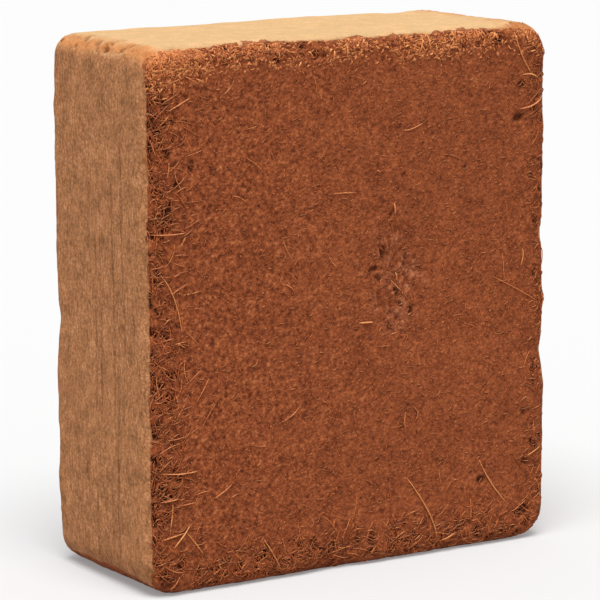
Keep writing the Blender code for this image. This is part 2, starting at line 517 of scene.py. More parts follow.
# The skin's material blends this field towards PITH_SHADOW, so it is mostly painted shade.
pit_shade = np.clip(bare * pith_pit_shade + (1.0 - bare) * side_pit_shade, 0, 1)
fields = {"bare": bare, "pit_shade": pit_shade, "worn": worn, "clumpy": clumpy, "torn": torn}
for name, values in fields.items():
    keep_field(skin_mesh, name, values)
print("kept on each point:", ", ".join(fields))

# %% [markdown]
# ### Three pieces of skin
#
# The skin could stay one net, but a piece with fewer triangles is easier to handle, so it is parted
# where the press faces turn into the sides. Smooth shading works out a point's normal from the faces
# round it, and a point on the parting line has lost half of them. So each piece is handed the
# normals of the whole net, and the line doesn't show.

# %% Part the skin
centres_y = numbers(skin_mesh.polygons, "center", 3)[:, 1]
skin_normals = numbers(skin_mesh.vertex_normals, "vector", 3)
normal_field = skin_mesh.attributes.new("whole_normal", "FLOAT_VECTOR", "POINT")
normal_field.data.foreach_set("vector", skin_normals.ravel())
PRESS_BAND = 3.0 * MM
FRONT, BACK, SIDES = range(3)
part_of_face = np.where(
    centres_y < low.y + PRESS_BAND, FRONT,
    np.where(centres_y > high.y - PRESS_BAND, BACK, SIDES),
)


def skin_part(name, part):
    """A new object with only the faces of one part, shaded with the whole skin's normals."""
    net = bmesh.new()
    net.from_mesh(skin_mesh)
    net.faces.ensure_lookup_table()
    others = [net.faces[index] for index in np.flatnonzero(part_of_face != part)]
    bmesh.ops.delete(net, geom=others, context="FACES")
    mesh = bpy.data.meshes.new(name)
    net.to_mesh(mesh)
    net.free()
    mesh.shade_smooth()
    normals = numbers(mesh.attributes["whole_normal"].data, "vector", 3)
    mesh.normals_split_custom_set_from_vertices(normals.tolist())
    print(name, "has", len(mesh.polygons), "quads")
    return add_object(name, mesh)


front_skin = skin_part("front_press_face", FRONT)
back_skin = skin_part("back_press_face", BACK)
side_skin = skin_part("mould_sides", SIDES)

# %% [markdown]
# ## Effects that several materials share
#
# Grain, and dust with painted sheen, show up on the skin, on the fibres and on the crumbs alike. They
# could be copied from material to material, but a node group with named inputs is built once, and
# each material uses it at its own size and strength. The hair web and the press layers are the skin's
# alone, and are groups because they are easier to read under a name. Everything is measured in metres
# over the object, so the effects keep their real size.

# %% A new node group
SOCKET_KINDS = {type(None): "NodeSocketVector", float: "NodeSocketFloat", tuple: "NodeSocketColor"}


def new_group(name, inputs, outputs, output_kind="NodeSocketFloat"):
    """An empty shader group. Inputs are {name: default}, and one with no default is a vector."""
    tree = bpy.data.node_groups.new(name, "ShaderNodeTree")
    for label, default in inputs.items():
        kind = SOCKET_KINDS[type(default)]
        socket = tree.interface.new_socket(label, in_out="INPUT", socket_type=kind)
        if default is not None:
            socket.default_value = default
    for label in outputs:
        tree.interface.new_socket(label, in_out="OUTPUT", socket_type=output_kind)
    print("group", name, "takes", ", ".join(inputs), "and gives", ", ".join(outputs))
    entry = tree.nodes.new("NodeGroupInput")
    leave = tree.nodes.new("NodeGroupOutput")
    return tree, entry.outputs, leave.inputs


def use_group(tree, group, inputs):
    """Places a group in a material, with this material's own values. Returns its outputs."""
    return add_node(tree, "ShaderNodeGroup", inputs, node_tree=group).outputs


def sum_up(tree, operation, first, second, clamp=False):
    """One Math node. Returns its result."""
    inputs = {0: first, 1: second}
    return add_node(tree, "ShaderNodeMath", inputs, operation=operation, use_clamp=clamp).outputs[0]


def join_vectors(tree, operation, first, second):
    """One Vector Math node. Returns its result."""
    inputs = {0: first, 1: second}
    return add_node(tree, "ShaderNodeVectorMath", inputs, operation=operation).outputs[0]


def remap(tree, value, start, end, to_start=0.0, to_end=1.0):
    """A value between start and end as one between to_start and to_end, and held there beyond."""
    node = add_node(tree, "ShaderNodeMapRange", {
        "Value": value, "From Min": start, "From Max": end, "To Min": to_start, "To Max": to_end})
    return node.outputs["Result"]


def shrink(tree, *sizes):
    """What to multiply a place by, to measure it in lumps of this size along X, Y and Z."""
    shares = [sum_up(tree, "DIVIDE", 1.0, size) for size in sizes]
    return add_node(tree, "ShaderNodeCombineXYZ", dict(zip("XYZ", shares))).outputs[0]


# %% [markdown]
# ### Pith grain
#
# Pith is a crumb of soft round grains with dark gaps between them. Plain noise has no gaps. Voronoi
# cells do: the distance to a cell's middle is a small hill with a valley all round it, and each cell
# has a random number of its own, which tints one grain against the next. The places are first bent
# by a little noise, because real grains aren't neat cells. Two softer noises go with them: a clump
# is about two grains wide, and a cloud about six.

# %% Pith grain: hills, gaps and tints


def make_grain_group():
    tree, given, result = new_group(
        "pith grain", {"Vector": None, "Grain Size": 0.002}, ["Grain", "Tint", "Clump", "Cloud"])
    places = given["Vector"]
    scale = sum_up(tree, "DIVIDE", 1.0, given["Grain Size"])
    wobble = add_node(tree, "ShaderNodeTexNoise", {"Vector": places, "Scale": scale, "Detail": 2.0})
    centred = join_vectors(tree, "SUBTRACT", wobble.outputs["Color"], (0.5, 0.5, 0.5))
    small = add_node(tree, "ShaderNodeVectorMath", {
        0: centred, "Scale": given["Grain Size"]}, operation="SCALE").outputs[0]
    bent = join_vectors(tree, "ADD", places, small)
    cell = add_node(tree, "ShaderNodeTexVoronoi", {"Vector": bent, "Scale": scale})
    hill = sum_up(tree, "SUBTRACT", 1.0, cell.outputs["Distance"])
    parts = add_node(tree, "ShaderNodeSeparateXYZ", {"Vector": cell.outputs["Color"]})
    clump = add_node(tree, "ShaderNodeTexNoise", {
        "Vector": places, "Scale": sum_up(tree, "DIVIDE", scale, 1.7), "Detail": 1.0})
    cloud = add_node(tree, "ShaderNodeTexNoise", {
        "Vector": places, "Scale": sum_up(tree, "DIVIDE", scale, 6.0), "Detail": 2.0})
    tree.links.new(hill, result["Grain"])
    tree.links.new(parts.outputs["X"], result["Tint"])
    tree.links.new(clump.outputs["Fac"], result["Clump"])
    tree.links.new(cloud.outputs["Fac"], result["Cloud"])
    return tree


pith_grain = make_grain_group()

# %% [markdown]
# ### Fibre web
#
# Between the fibres that are thick enough to model there are thousands of finer ones. A web of
# them can be drawn by noise too: noise stretched along one direction makes short parallel hairs,
# and the brightest of several such layers, each turned another way, is a criss-cross felt.

# %% Fibre web: hairs in many directions
WEB_TURNS = [
    (0.2, 0.1, 0.0),
    (0.9, 0.5, 0.4),
    (1.7, 0.2, 1.1),
    (2.5, 0.7, 1.9),
    (0.5, 1.2, 2.6),
]


def make_web_group():
    tree, given, result = new_group(
        "fibre web", {"Vector": None, "Hair Width": 0.0005, "Hair Length": 0.006}, ["Web"])
    to_hairs = shrink(tree, given["Hair Length"], given["Hair Width"], given["Hair Width"])
    web = None
    for turn in WEB_TURNS:
        turned = add_node(tree, "ShaderNodeVectorRotate", {
            "Vector": given["Vector"], "Rotation": turn}, rotation_type="EULER_XYZ")
        hairs = join_vectors(tree, "MULTIPLY", turned.outputs[0], to_hairs)
        layer = add_node(tree, "ShaderNodeTexNoise", {
            "Vector": hairs, "Scale": 1.0, "Detail": 1.0, "Distortion": 0.4})
        height = layer.outputs["Fac"]
        web = height if web is None else sum_up(tree, "MAXIMUM", web, height)
    tree.links.new(web, result["Web"])
    return tree


fibre_web = make_web_group()

# %% [markdown]
# ### Press layers
#
# The pith was squeezed between the press faces, so it lies in thin layers across the sides, and the
# mould wall drew them out into streaks. Wave bands would be too regular. Noise that is squeezed in
# the pressing direction and left long in the other two gives streaks that start and end by chance.

# %% Press layers: streaks along the way the pith was laid down


def make_layer_group():
    tree, given, result = new_group(
        "press layers", {"Vector": None, "Layer Depth": 0.0012, "Layer Length": 0.02}, ["Layers"])
    to_layers = shrink(tree, given["Layer Length"], given["Layer Depth"], given["Layer Length"])
    drawn_out = join_vectors(tree, "MULTIPLY", given["Vector"], to_layers)
    layers = add_node(tree, "ShaderNodeTexNoise", {
        "Vector": drawn_out, "Scale": 1.0, "Detail": 3.0, "Roughness": 0.6})
    tree.links.new(layers.outputs["Fac"], result["Layers"])
    return tree


press_layers = make_layer_group()

# %% [markdown]
# ### Dust and painted sheen
#
# Coir sheds a pale dry dust, which settles on whatever faces up: the top of the block, and the upper
# side of a fibre. The same pale coat also paints the sheen that the light from above gives those faces,
# so it is part dust and part painted sheen. It could be strewn as grains, but it is far too fine to see
# one by one. So it is a coat of colour, and the upward part of the surface's own direction says how
# thick it lies.

# %% Dust and painted sheen: a paler coat on what faces up


def blend_colours(tree, factor, first, second):
    """One Mix node for colours. Returns its result."""
    inputs = {"Factor": factor, "A": first, "B": second}
    return add_node(tree, "ShaderNodeMix", inputs, data_type="RGBA").outputs["Result"]


def make_dust_and_sheen_group():
    tree, given, result = new_group(
        "dry dust",
        {"Color": (0.2, 0.1, 0.05, 1.0), "Dust Color": (0.6, 0.4, 0.2, 1.0), "Amount": 0.5},
        ["Color"],
        output_kind="NodeSocketColor",
    )
    # Painted sheen with some dust: the more a face points up, the paler it is made.
    facing = add_node(tree, "ShaderNodeNewGeometry")
    parts = add_node(tree, "ShaderNodeSeparateXYZ", {"Vector": facing.outputs["Normal"]})
    upward = remap(tree, parts.outputs["Z"], 0.35, 0.95)
    share = sum_up(tree, "MULTIPLY", upward, given["Amount"])
    tree.links.new(blend_colours(tree, share, given["Color"], given["Dust Color"]), result["Color"])
    return tree


dust_and_sheen = make_dust_and_sheen_group()

# %% [markdown]
# ## The skin's material
#
# Pressed pith has two finishes. Bare pith is a dark red-brown that changes from grain to grain,
# lighter where hairs of fibre cross it, and greyer in patches of the torn hollow. Its pits are
# darkened with painted shade. The mould skin is tan, with streaks along the layers, and paler on top
# with dust and painted sheen. Both are darkened with painted shade near the base. At the worn corners
# both turn orange. Two materials would meet in a line of whole faces. One material covers the whole
# skin instead, and the stored `bare` value picks between the finishes, grain by grain.

# %% Colours, as shares of the light that the dry material throws back


def linear(red, green, blue):
    """A screen colour from 0 to 255 as the linear colour that a shader wants."""
    shares = [value / 255 for value in (red, green, blue)]
    return tuple(((v + 0.055) / 1.055) ** 2.4 if v > 0.04 else v / 12.92 for v in shares) + (1.0,)


# PITH_SHADOW is painted shade for pits, gaps and the base, not a colour of the pith itself.
PITH_SHADOW = linear(66, 30, 17)
PITH_DARK = linear(90, 42, 23)
PITH_BROWN = linear(146, 77, 44)
PITH_ORANGE = linear(190, 118, 72)
TORN_GREY = linear(136, 84, 63)
TORN_PALE = linear(190, 138, 106)
WORN_ORANGE = linear(196, 123, 67)
TAN_DARK = linear(128, 86, 54)
TAN = linear(173, 117, 77)
TAN_PALE = linear(208, 151, 109)
# The pale coat on what faces up: dry dust and painted sheen.
DUST_AND_SHEEN = linear(227, 198, 146)
print("dust throws back", [round(share, 2) for share in DUST_AND_SHEEN[:3]], "of red, green and blue")

# %% Pressed pith material


def colour_steps(tree, value, steps):
    """A colour ramp: steps are (place from 0 to 1, colour)."""
    ramp = add_node(tree, "ShaderNodeValToRGB", {"Fac": value})
    while len(ramp.color_ramp.elements) < len(steps):
        ramp.color_ramp.elements.new(0.5)
    for element, (place, colour) in zip(ramp.color_ramp.elements, steps):
        element.position = place
        element.color = colour
    return ramp.outputs["Color"]


def attribute(tree, name):
    """A number that is stored on the mesh's points."""
    return add_node(tree, "ShaderNodeAttribute", attribute_name=name).outputs["Fac"]


def weighed_sum(tree, parts, start=0.0):
    """Adds up (value, weight) pairs."""
    total = start
    for value, weight in parts:
        total = sum_up(tree, "ADD", sum_up(tree, "MULTIPLY", value, weight), total)
    return total


def make_pith_material():
    material, tree, surface = new_material("pressed pith", roughness=0.9, gloss=0.08)
    place = add_node(tree, "ShaderNodeTexCoord").outputs["Object"]
    grain = use_group(tree, pith_grain, {"Vector": place, "Grain Size": 0.0017})
    web = use_group(tree, fibre_web, {
        "Vector": place, "Hair Width": 0.0015, "Hair Length": 0.006})["Web"]
    layers = use_group(tree, press_layers, {
        "Vector": place, "Layer Depth": 0.0014, "Layer Length": 0.0045})["Layers"]

    felt = weighed_sum(tree, [
        (grain["Grain"], 0.30), (grain["Tint"], 0.10), (grain["Cloud"], 0.40), (web, 0.7)], -0.43)
    clumping = weighed_sum(tree, [(attribute(tree, "clumpy"), 0.8)], 0.40)
    clumps = sum_up(tree, "MULTIPLY", sum_up(tree, "SUBTRACT", grain["Clump"], 0.5), clumping)
    felt = sum_up(tree, "ADD", felt, clumps)
    brown = colour_steps(tree, felt, [(0.1, PITH_DARK), (0.5, PITH_BROWN), (0.9, PITH_ORANGE)])
    patches = remap(tree, grain["Cloud"], 0.42, 0.60, to_end=0.42)
    torn_share = sum_up(tree, "MULTIPLY", attribute(tree, "torn"), patches)
    grey = colour_steps(tree, felt, [(0.1, PITH_DARK), (0.5, TORN_GREY), (0.9, TORN_PALE)])
    brown = blend_colours(tree, torn_share, brown, grey)

    streaks = weighed_sum(tree, [
        (layers, 0.9), (grain["Grain"], 0.35), (grain["Tint"], 0.12), (grain["Cloud"], 0.6)], -0.57)
    tan = colour_steps(tree, streaks, [(0.15, TAN_DARK), (0.5, TAN), (0.85, TAN_PALE)])

    edge = weighed_sum(tree, [(grain["Grain"], 0.5), (grain["Tint"], 0.3)], -0.40)
    edge = sum_up(tree, "ADD", attribute(tree, "bare"), edge)
    bare_mask = remap(tree, edge, 0.42, 0.58)
    colour = blend_colours(tree, bare_mask, tan, brown)
    worn_share = sum_up(tree, "MULTIPLY", attribute(tree, "worn"), 0.6)
    colour = blend_colours(tree, worn_share, colour, WORN_ORANGE)
    rubbed = sum_up(tree, "ADD", attribute(tree, "worn"), bare_mask, clamp=True)
    # Painted sheen with some dust: what faces up is paled, the mould skin more than bare pith.
    dust_and_sheen_share = remap(tree, rubbed, 0.0, 1.0, to_start=0.47, to_end=0.09)
    colour = use_group(tree, dust_and_sheen, {
        "Color": colour, "Dust Color": DUST_AND_SHEEN, "Amount": dust_and_sheen_share})["Color"]
    # Painted shade: pits, gaps, grooves and the base are blended towards PITH_SHADOW.
    colour = blend_colours(tree, attribute(tree, "pit_shade"), colour, PITH_SHADOW)

    relief = weighed_sum(tree, [(grain["Grain"], 1.0), (web, 0.8), (layers, 0.5)])
    bump = add_node(tree, "ShaderNodeBump", {
        "Strength": 0.7, "Distance": 0.0006, "Height": relief})
    tree.links.new(colour, surface.inputs["Base Color"])
    tree.links.new(bump.outputs["Normal"], surface.inputs["Normal"])
    return material


pressed_pith = make_pith_material()
print(pressed_pith.name, "has", len(pressed_pith.node_tree.nodes), "nodes")
for piece in (front_skin, back_skin, side_skin):
    piece.data.materials.append(pressed_pith)
    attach(piece, "root")
    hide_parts("coir_bale")

# %% [markdown]
# ## Fibres
#
# Each fibre is a thin tube, bent over the surface it lies on. Blender has hair for this, but hair
# is drawn only while rendering and has no mesh of its own. Here a fibre is a walk over the block: a
# few short steps, each brought back to the nearest place on the smooth skin, with a small turn in
# between. Then one function spins tubes round all the walks at once, into a single mesh. Three sides
# are enough for a tube that is at most two millimetres thick.

# %% A tree for finding the nearest place on the block
quads = numbers(skin_mesh.loops, "vertex_index", 1).astype(int).reshape(-1, 4)
smooth_tree = BVHTree.FromPolygons(smooth_places.tolist(), quads.tolist())
quad_bare = bare[quads].mean(axis=1)
quad_fray = fray[quads].mean(axis=1)
quad_middle = smooth_places[quads].mean(axis=1)
front_quads = quad_middle[:, 1] < 0.0
SEED = 2224
chance = np.random.default_rng(SEED)
print(int(front_quads.sum()), "of", len(quads), "quads are on the front half")


def scatter(count, weights):
    """The middles of quads picked by chance, more often where the weight is high."""
    picked = chance.choice(len(weights), size=count, p=weights / weights.sum())
    jitter = chance.uniform(-0.5, 0.5, (count, 3)) * SKIN_CELL
    return picked, quad_middle[picked] + jitter


# %% Walks over the block


def walk(place, heading, steps, stride, bend, ripple):
    """Places and normals of one walk over the smooth skin, which turns by bend at each step."""
    places = []
    normals = []
    turns = bend + ripple * chance.normal(size=steps)
    for turn in turns:
        place, normal, _, _ = smooth_tree.find_nearest(place)
        heading = (heading - normal * heading.dot(normal)).normalized()
        places.append(place)
        normals.append(normal)
        heading.rotate(Matrix.Rotation(turn, 3, normal))
        place = place + heading * stride
    return places, normals


def walk_from(starts, steps, lengths, bend, ripple):
    """One walk from each start, in any direction. Returns arrays of places and of normals."""
    walks = [
        walk(Vector(start), Vector(chance.normal(size=3)), steps, length / (steps - 1),
             bend * chance.normal(), ripple)
        for start, length in zip(starts, lengths)
    ]
    return np.array([places for places, _ in walks]), np.array([normals for _, normals in walks])


def stays_on_press(places, normals):
    """True for the walks that never turn off a press face, a little stricter at the back."""
    at_back = places[:, :, 1].mean(axis=1) > 0.0
    return np.abs(normals[:, :, 1]).min(axis=1) > np.where(at_back, 0.85, 0.55)


# %% Spin tubes round the walks
TUBE_SIDES = 3
TIP_THICKNESS = 0.25
MAP_FILL = 0.96


def unit(vectors):
    """Each vector at a length of 1."""
    return vectors / np.maximum(np.linalg.norm(vectors, axis=-1, keepdims=True), 1e-9)


def cells(count):
    """Lower left corner and size of one square for each thing, in a grid that fills a map."""
    across = math.ceil(math.sqrt(count))
    number = np.arange(count)
    return np.stack([number % across, number // across], axis=1) / across, 1.0 / across


def add_piece(name, mesh, flat_map):
    """An object of this mesh. The map says where each face's corners lie on a flat sheet."""
    mesh.shade_smooth()
    mesh.uv_layers.new(name="OFBake").uv.foreach_set("vector", flat_map.ravel().astype(np.float32))
    triangles = sum(len(face.vertices) - 2 for face in mesh.polygons)
    print(name, "has", triangles, "triangles")
    return add_object(name, mesh)


def spin_fibres(name, places, normals, radii, tones):
    """One mesh of tapered tubes along the walks, with each fibre's tone kept on its points."""
    count, steps, _ = places.shape
    along = unit(np.gradient(places, axis=1))
    side = unit(np.cross(along, normals))
    upright = np.cross(side, along)
    bulge = np.sin(np.linspace(0.12, math.pi - 0.12, steps)) ** 0.6
    taper = TIP_THICKNESS + (1.0 - TIP_THICKNESS) * bulge
    thick = (radii[:, None] * taper)[:, :, None, None]
    angles = np.arange(TUBE_SIDES) * math.tau / TUBE_SIDES
    ring = np.cos(angles)[:, None] * upright[:, :, None] + np.sin(angles)[:, None] * side[:, :, None]
    points = (places[:, :, None] + thick * ring).reshape(-1, 3)

    corner = np.arange(count * steps * TUBE_SIDES).reshape(count, steps, TUBE_SIDES)
    after = np.roll(corner, -1, axis=2)
    walls = np.stack([corner[:, :-1], after[:, :-1], after[:, 1:], corner[:, 1:]], axis=-1)
    ends = np.concatenate([corner[:, 0, ::-1], corner[:, -1]])
    mesh = bpy.data.meshes.new(name)
    mesh.from_pydata(points.tolist(), [], walls.reshape(-1, 4).tolist() + ends.tolist())
    keep_field(mesh, "tone", np.repeat(tones, steps * TUBE_SIDES))

    low_corner, size = cells(count)
    step = np.arange(steps - 1)[None, :, None, None]
    turn = np.arange(TUBE_SIDES)[None, None, :, None]
    wall_shape = (count, steps - 1, TUBE_SIDES, 4)
    across = np.broadcast_to((step + np.array([0, 0, 1, 1])) / (steps - 1), wall_shape)
    upward = np.broadcast_to((turn + np.array([0, 1, 1, 0])) / TUBE_SIDES, wall_shape)
    wall_map = low_corner[:, None, None, None] + size * np.stack([across, upward], axis=-1) * MAP_FILL
    tip = np.array([(0.0, 0.0), (0.1, 0.0), (0.0, 0.1)])
    end_map = np.concatenate([low_corner, low_corner])[:, None] + size * tip
    return add_piece(name, mesh, np.concatenate([wall_map.reshape(-1, 2), end_map.reshape(-1, 2)]))


# %% [markdown]
# ### The felt
#
# Short fibres lie all over the press faces, pressed half into the pith. They go every way, and they
# are nearly as dark as the pith, so from a step away they read as a felt and not as hairs.

# %% Felt of the press faces


def lift(places, normals, heights):
    """Raises each point of each walk along its normal."""
    return places + normals * heights[:, :, None]


def resting_heights(count, steps, middle_height, spread, end_depth):
    """Heights of fibres that arch a little in the middle and are sunk at both ends."""
    arch = np.sin(np.linspace(0, math.pi, steps)) ** 0.7
    heights = middle_height + spread * chance.normal(size=(count, 1))
    ripple = 0.35 * spread * chance.normal(size=(count, steps))
    return heights * arch - end_depth * (1 - arch) + ripple


TUCK_DEPTH = 0.35 * MM


def lay_fibres(name, count, weights, lengths, curl, thickness, tone, rest, steps=6):
    """Lays fibres by chance. Lengths and thickness are ranges in mm, tone and rest (middle, spread)."""
    _, starts = scatter(count, weights)
    length = chance.uniform(*lengths, count) * MM
    places, normals = walk_from(starts, steps, length, bend=curl, ripple=0.7 * curl)
    keep = stays_on_press(places, normals)
    places, normals = places[keep], normals[keep]
    kept = len(places)
    heights = resting_heights(kept, steps, rest[0] * MM, rest[1] * MM, TUCK_DEPTH)
    radii = chance.uniform(*thickness, kept) * MM / 2
    tones = np.clip(chance.normal(*tone, kept), 0.0, 1.0)
    return spin_fibres(name, lift(places, normals, heights), normals, radii, tones)


def lay_on_both(kind, counts, weights, **habit):
    """The same kind of fibre on both press faces. Counts are for the front and for the back."""
    return [
        lay_fibres("front_" + kind, counts[0], weights * front_quads, **habit),
        lay_fibres("back_" + kind, counts[1], weights * ~front_quads, **habit),
    ]


felt_weights = fade(quad_bare, 0.5, 0.9) * (0.7 + 0.6 * quad_fray)
fibres = lay_on_both("felt", (5000, 2600), felt_weights, lengths=(2.5, 6.5), curl=0.30,
                     thickness=(0.55, 1.00), tone=(0.42, 0.10), rest=(0.02, 0.10), steps=5)

# %% [markdown]
# ### Frayed edges
#
# Just inside the edges of the press faces the pith has crumbled away and left its fibres standing:
# curlier and more raised than in the felt, with dark pits behind them, darkened by painted shade. Along
# the top edge they make a dense pale fringe of short thick curls that catches the light from above,
# and a tuft of longer ones sticks out near the upper left corner. Their pale tone is partly painted
# highlight for that light. Fewer fibres start in the holes, so the holes stay open.

# %% Frayed fibres along the edges
quad_open = 1.0 - 0.8 * holes[quads].mean(axis=1)
fray_weights = quad_fray ** 1.4 * quad_bare * quad_open
fibres += lay_on_both("fray", (3400, 1900), fray_weights, lengths=(4.0, 10.0), curl=0.26,
                      thickness=(0.60, 1.05), tone=(0.44, 0.12), rest=(0.10, 0.22))

# %% Fringe along the top edge, and the tuft
from_top_edge = high.z - quad_middle[:, 2]
from_left_edge = quad_middle[:, 0] - low.x
fringe_reach = 15 * MM + 9 * MM * near_edge(from_left_edge, 55 * MM)
fringe_weights = quad_bare * (1.0 - fade(from_top_edge / fringe_reach, 0.1, 1.45)) * (quad_bare > 0.4)
fringe_weights = fringe_weights * quad_open ** 2
gathered = fade(big_clouds[quads].mean(axis=1), -0.3, 0.4)
fringe_weights = fringe_weights * (0.15 + gathered + near_edge(from_left_edge, 50 * MM))
# Painted highlight: the fringe's high tone partly stands in for the light from above on it.
fibres += lay_on_both("fringe", (1700, 1000), fringe_weights, lengths=(2.0, 4.6), curl=0.36,
                      thickness=(1.00, 1.80), tone=(0.80, 0.15), rest=(-0.10, 0.20), steps=5)

tuft_weights = quad_bare * near_edge(from_top_edge, 24 * MM) * near_edge(from_left_edge - 8 * MM, 40 * MM)
# Painted highlight: the tuft's high tone partly stands in for the light from above on it.
fibres.append(lay_fibres("corner_tuft", 420, tuft_weights * front_quads, lengths=(2.5, 7.0), curl=0.42,
                         thickness=(0.70, 1.20), tone=(0.82, 0.13), rest=(0.15, 0.22), steps=5))

# %% [markdown]
# ### Long strands
#
# Long fibres lie loose on the press faces, most of them near the left and lower edges. The plainest
# ones are what the eye picks out first, so those are laid one by one, each through two or three places
# that were picked in the photograph. A place in a flat picture has no depth of its own: a ray from
# the camera through it finds the block behind it. More strands are then laid by chance.

# %% Strands laid through listed places
PICTURE_SIZE = 600
STRAND_STEPS = 10
PALE_STRAND_PLACES = [
    [(514, 31), (520, 52), (533, 76)],
    [(522, 75), (531, 74), (539, 79)],
    [(541, 94), (534, 104), (519, 109)],
    [(422, 35), (419, 54)],
    [(426, 34), (430, 52)],
    [(451, 31), (453, 36), (458, 42)],
    [(447, 50), (455, 47), (460, 52)],
    [(346, 44), (347, 58)],
    [(394, 203), (395, 214)],
    [(391, 280), (397, 287), (402, 291)],
    [(395, 272), (396, 281)],
    [(359, 323), (374, 322)],
    [(173, 502), (170, 534)],
    [(172, 551), (190, 526)],
    [(187, 533), (204, 555)],
    [(264, 540), (272, 553), (282, 573)],
    [(161, 541), (185, 533)],
    [(160, 275), (174, 300), (183, 340)],
    [(407, 478), (428, 512), (437, 539)],
    [(479, 459), (490, 482), (507, 503)],
]
STRAND_PLACES = [
    [(150, 235), (168, 235), (187, 233)],
    [(489, 275), (515, 288), (540, 303)],
    [(184, 76), (198, 84)],
    [(166, 113), (178, 105), (190, 98)],
    [(222, 96), (233, 84)],
    [(173, 82), (173, 99)],
    [(150, 140), (156, 158)],
    [(162, 474), (180, 474), (199, 471)],
    [(214, 499), (232, 484)],
    [(169, 590), (180, 576)],
    [(441, 540), (456, 532)],
    [(470, 498), (470, 520)],
    [(160, 503), (180, 499)],
    [(158, 560), (172, 571), (186, 572)],
    [(413, 406), (417, 413), (415, 421)],
    [(176, 396), (178, 404)],
    [(232, 196), (240, 198), (247, 204)],
    [(246, 158), (256, 165), (264, 174)],
]


def under_pixel(column, row):
    """The place on the block behind one pixel of the picture."""
    half = PICTURE_SIZE / 2
    scale = camera.data.sensor_width / camera.data.lens / PICTURE_SIZE
    ray = Vector(((column - half) * scale, (half - row) * scale, -1.0))
    turned = camera.rotation_euler.to_matrix() @ ray
    place, _, _, _ = smooth_tree.ray_cast(camera.location, turned.normalized())
    return place


def through(places, steps):
    """Evenly spaced points on a smooth curve through two or three places."""
    share = np.linspace(0.0, 1.0, steps)[:, None]
    first, last = np.array(places[0]), np.array(places[-1])
    if len(places) == 2:
        return first + (last - first) * share
    pull = 2.0 * np.array(places[1]) - 0.5 * (first + last)
    return (1 - share) ** 2 * first + 2 * share * (1 - share) * pull + share ** 2 * last


def lay_strands(name, pixel_lists, tones, thickness):
    """Long fibres through places in the picture, brought down to the skin, with ends tucked in."""
    seen = [[under_pixel(*pixel) for pixel in pixels] for pixels in pixel_lists]
    curves = [through(places, STRAND_STEPS) for places in seen if None not in places]
    print(name, "has", len(curves), "of", len(pixel_lists), "strands")
    nearest = [[smooth_tree.find_nearest(Vector(place))[:2] for place in curve] for curve in curves]
    places = np.array([[place for place, _ in line] for line in nearest])
    normals = np.array([[normal for _, normal in line] for line in nearest])
    heights = resting_heights(len(curves), STRAND_STEPS, 0.9 * MM, 0.2 * MM, 0.1 * MM)
    radii = chance.uniform(*thickness, len(curves)) * MM / 2
    shades = chance.uniform(*tones, len(curves))
    return spin_fibres(name, lift(places, normals, heights), normals, radii, shades)


fibres += [
    lay_strands("hand_laid_strands", STRAND_PLACES, tones=(0.66, 0.84), thickness=(0.68, 1.00)),
    lay_strands("pale_strands", PALE_STRAND_PLACES, tones=(0.80, 0.96), thickness=(0.90, 1.25)),
]

# %% Strands laid by chance
from_base_edge = quad_middle[:, 2] - low.z
from_right_edge = high.x - quad_middle[:, 0]
strand_weights = 0.03 + np.maximum.reduce([
    near_edge(from_left_edge, 45 * MM),
    0.8 * near_edge(from_base_edge, 45 * MM),
    0.4 * near_edge(from_right_edge, 25 * MM),
])
fibres.append(lay_fibres("loose_strands", 1700, felt_weights * strand_weights, lengths=(7.0, 19.0),
                         curl=0.10, thickness=(0.45, 0.85), tone=(0.60, 0.13), rest=(0.30, 0.20),
                         steps=7))

# %% [markdown]
# ### Fibres in the mould sides
#
# The mould wall combed the fibres of the sides flat along the layers. They are short, pale and
# almost flush, so only their backs show. They are walks too, but each starts along the layers and
# hardly turns.

# %% Side fibres


def lay_side_fibres(name, count, steps=5):
    weights = (1.0 - fade(quad_bare, 0.1, 0.5)) * fade(high.z - quad_middle[:, 2], 3 * MM, 8 * MM)
    picked, starts = scatter(count, weights)
    lengths = chance.uniform(3.0, 12.0, count) * MM
    walks = []
    for quad, start, length in zip(picked, starts, lengths):
        upright = abs(quad_middle[quad, 0]) > 0.5 * (high.x - low.x) - 12 * MM
        layers = Vector((0.0, 0.0, 1.0)) if upright else Vector((1.0, 0.0, 0.0))
        heading = layers + Vector((0.0, 0.16 * chance.normal(), 0.0))
        walks.append(walk(Vector(start), heading, steps, length / (steps - 1), 0.0, 0.05))
    places = np.array([line for line, _ in walks])
    normals = np.array([line for _, line in walks])
    heights = resting_heights(count, steps, 0.03 * MM, 0.04 * MM, 0.15 * MM)
    radii = chance.uniform(0.08, 0.16, count) * MM
    tones = np.clip(chance.normal(0.55, 0.15, count), 0.0, 1.0)
    return spin_fibres(name, lift(places, normals, heights), normals, radii, tones)


side_fibres = lay_side_fibres("side_fibres", 1500)

# %% [markdown]
# ## Crumbs of pith
#
# Between the fibres sit loose grains of pith, each a tiny broken lump. An eight-sided lump with its
# corners moved by chance is plenty at this size. They are copied over the skin by one function, and
# sit half in it, more of them where the face is frayed. Larger, paler crumbs cling to the fringe. Their
# pale tone is partly painted highlight from the light above.

# %% Crumbs
LUMP_CORNERS = np.array([
    (1, 0, 0), (-1, 0, 0), (0, 1, 0), (0, -1, 0), (0, 0, 1), (0, 0, -1),
], float)
LUMP_FACES = np.array([
    (0, 2, 4), (2, 1, 4), (1, 3, 4), (3, 0, 4), (2, 0, 5), (1, 2, 5), (3, 1, 5), (0, 3, 5),
])
CRUMB_FLATNESS = 0.55


